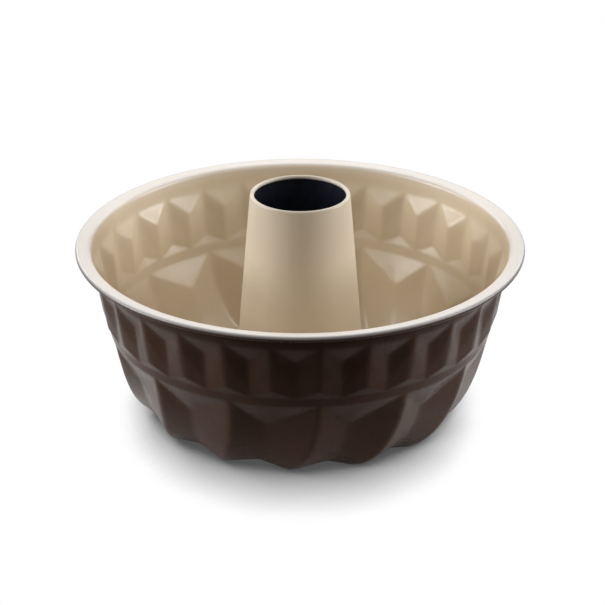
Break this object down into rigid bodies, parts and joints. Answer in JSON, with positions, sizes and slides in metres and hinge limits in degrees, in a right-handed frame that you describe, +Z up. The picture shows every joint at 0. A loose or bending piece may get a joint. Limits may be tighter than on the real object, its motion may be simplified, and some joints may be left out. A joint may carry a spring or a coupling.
{
  "type": "tube pan",
  "caption": "Round fluted tube pan of coated sheet steel for ring cakes, with a flat rolled rim, a band of small facets, swirling flutes and a tapered centre tube.",
  "frame": {"origin": "middle of the pan, at the height of the feet that it stands on", "axes": "+Z up along the tube's axis, towards the rim; -Y towards the side that the picture shows; +X to that view's right"},
  "size_m": [0.2484, 0.2484, 0.128],
  "materials": {
    "brown_coat": "dark brown non-stick coat, satin with a soft gloss",
    "cream_coat": "cream non-stick coat, satin"
  },
  "bodies": {
    "root": {"fluted_shell": "brown_coat", "centre_tube": "cream_coat"}
  },
  "joints": []
}
